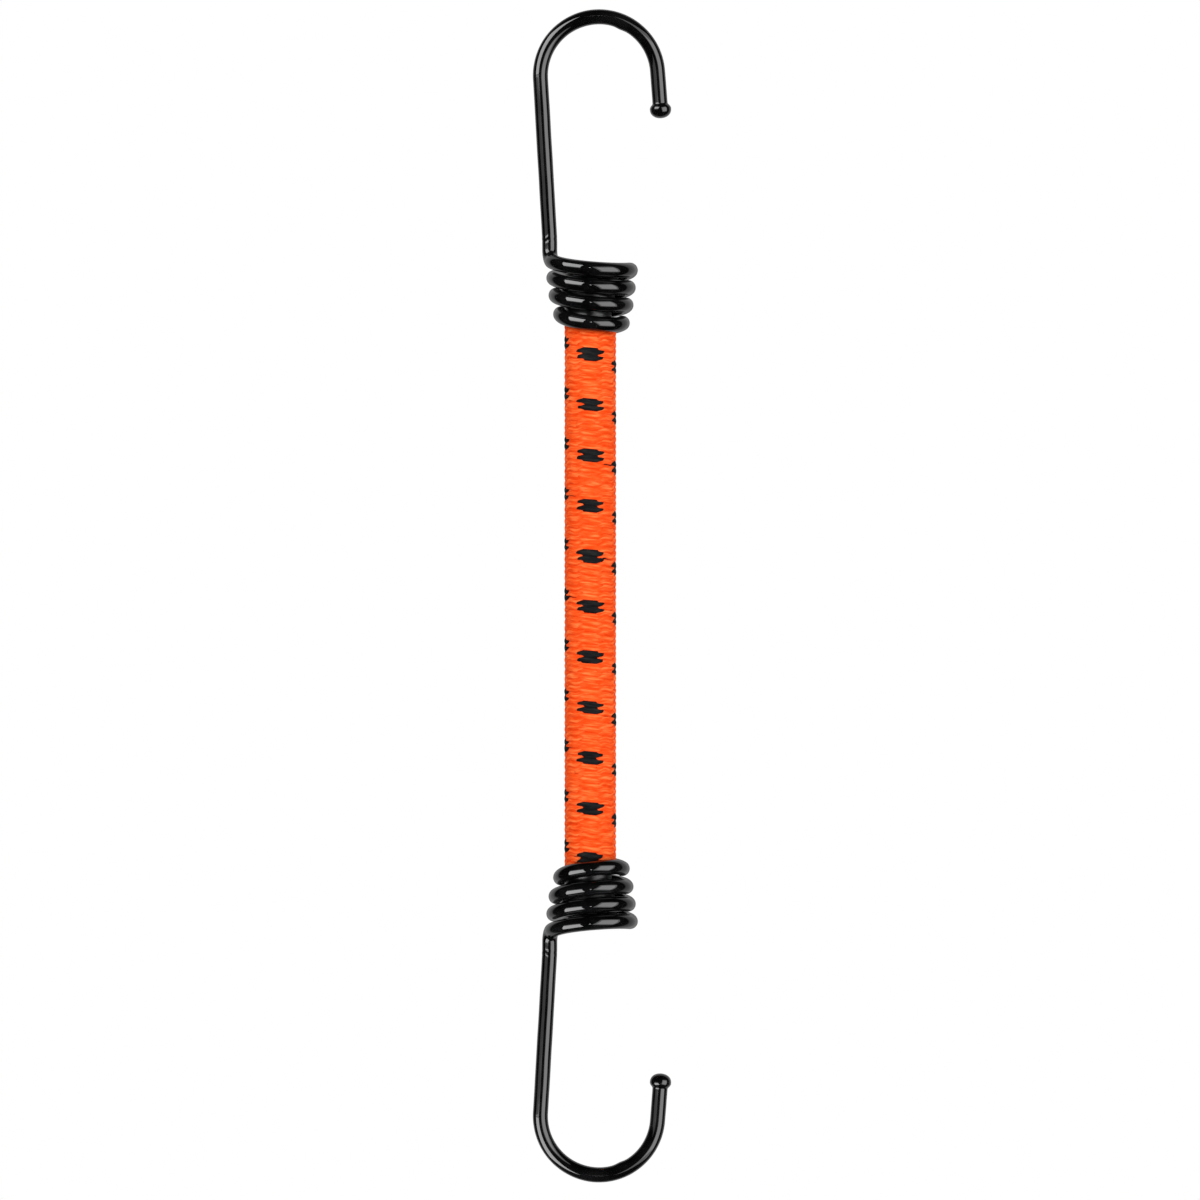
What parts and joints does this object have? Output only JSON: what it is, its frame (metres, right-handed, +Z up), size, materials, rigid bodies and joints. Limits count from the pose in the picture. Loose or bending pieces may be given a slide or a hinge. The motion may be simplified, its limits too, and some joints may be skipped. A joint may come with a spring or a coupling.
{
  "type": "bungee cord",
  "caption": "Short elastic cord in a braided cover, with a vinyl-coated wire hook wound round each end, for strapping and hanging things.",
  "frame": {"origin": "middle of the flat at the top of the inside of the upper crown, where the upper hook bears on what it hangs from", "axes": "+Z up along the cord towards the upper crown, +X from the shanks towards the ball tips, +Y square to both hooks, towards the back"},
  "size_m": [0.03, 0.0203, 0.254],
  "materials": {
    "hook_steel": "drawn steel wire, bare at the cut end",
    "hook_vinyl": "dipped glossy black vinyl with small ripples",
    "clamp_steel": "zinc-coated wire",
    "cord_braid": "bright orange filament yarn braided over and under in pairs, with two black tracer yarns",
    "cord_rubber": "square-cut natural rubber thread"
  },
  "bodies": {
    "upper_hook": {"upper_hook_wire": "hook_steel", "upper_hook_coating": "hook_vinyl"},
    "upper_cord_end": {"upper_cord_clamp": "clamp_steel"},
    "cord_cover": {"braided_sheath": "cord_braid"},
    "cord_core": {"rubber_strand_01": "cord_rubber", "rubber_strand_02": "cord_rubber", "rubber_strand_03": "cord_rubber", "rubber_strand_04": "cord_rubber", "rubber_strand_05": "cord_rubber", "rubber_strand_06": "cord_rubber", "rubber_strand_07": "cord_rubber", "rubber_strand_08": "cord_rubber", "rubber_strand_09": "cord_rubber", "rubber_strand_10": "cord_rubber", "rubber_strand_11": "cord_rubber", "rubber_strand_12": "cord_rubber", "rubber_strand_13": "cord_rubber", "rubber_strand_14": "cord_rubber", "rubber_strand_15": "cord_rubber", "rubber_strand_16": "cord_rubber", "rubber_strand_17": "cord_rubber", "rubber_strand_18": "cord_rubber", "rubber_strand_19": "cord_rubber", "rubber_strand_20": "cord_rubber", "rubber_strand_21": "cord_rubber", "rubber_strand_22": "cord_rubber", "rubber_strand_23": "cord_rubber", "rubber_strand_24": "cord_rubber", "rubber_strand_25": "cord_rubber", "rubber_strand_26": "cord_rubber", "rubber_strand_27": "cord_rubber", "rubber_strand_28": "cord_rubber", "rubber_strand_29": "cord_rubber", "rubber_strand_30": "cord_rubber", "rubber_strand_31": "cord_rubber", "rubber_strand_32": "cord_rubber", "rubber_strand_33": "cord_rubber", "rubber_strand_34": "cord_rubber", "rubber_strand_35": "cord_rubber", "rubber_strand_36": "cord_rubber", "rubber_strand_37": "cord_rubber"},
    "lower_cord_end": {"lower_cord_clamp": "clamp_steel"},
    "lower_hook": {"lower_hook_wire": "hook_steel", "lower_hook_coating": "hook_vinyl"}
  },
  "joints": [
    {"name": "upper_swivel", "type": "hinge", "parent": "upper_hook", "child": "upper_cord_end", "pos_m": [-0.0019, 0, -0.0546], "axis": [0, 0, 1], "range_deg": [-180, 180]},
    {"name": "upper_bend", "type": "hinge", "parent": "upper_cord_end", "child": "cord_cover", "pos_m": [-0.0019, 0, -0.0762], "axis": [0, 1, 0], "range_deg": [-60, 60], "stiffness_Nm_per_rad": 0.035},
    {"name": "cord_stretch", "type": "slide", "parent": "cord_cover", "child": "cord_core", "axis": [0, 0, -1], "range_m": [0, 0.08], "stiffness_N_per_m": 1500, "deforming": ["braided_sheath", "rubber_strand_01", "rubber_strand_02", "rubber_strand_03", "rubber_strand_04", "rubber_strand_05", "rubber_strand_06", "rubber_strand_07", "rubber_strand_08", "rubber_strand_09", "rubber_strand_10", "rubber_strand_11", "rubber_strand_12", "rubber_strand_13", "rubber_strand_14", "rubber_strand_15", "rubber_strand_16", "rubber_strand_17", "rubber_strand_18", "rubber_strand_19", "rubber_strand_20", "rubber_strand_21", "rubber_strand_22", "rubber_strand_23", "rubber_strand_24", "rubber_strand_25", "rubber_strand_26", "rubber_strand_27", "rubber_strand_28", "rubber_strand_29", "rubber_strand_30", "rubber_strand_31", "rubber_strand_32", "rubber_strand_33", "rubber_strand_34", "rubber_strand_35", "rubber_strand_36", "rubber_strand_37"]},
    {"name": "lower_bend", "type": "hinge", "parent": "cord_core", "child": "lower_cord_end", "pos_m": [-0.0019, 0, -0.1712], "axis": [0, 1, 0], "range_deg": [-60, 60], "stiffness_Nm_per_rad": 0.035},
    {"name": "lower_swivel", "type": "hinge", "parent": "lower_cord_end", "child": "lower_hook", "pos_m": [-0.0019, 0, -0.1928], "axis": [0, 0, 1], "range_deg": [-180, 180]}
  ]
}
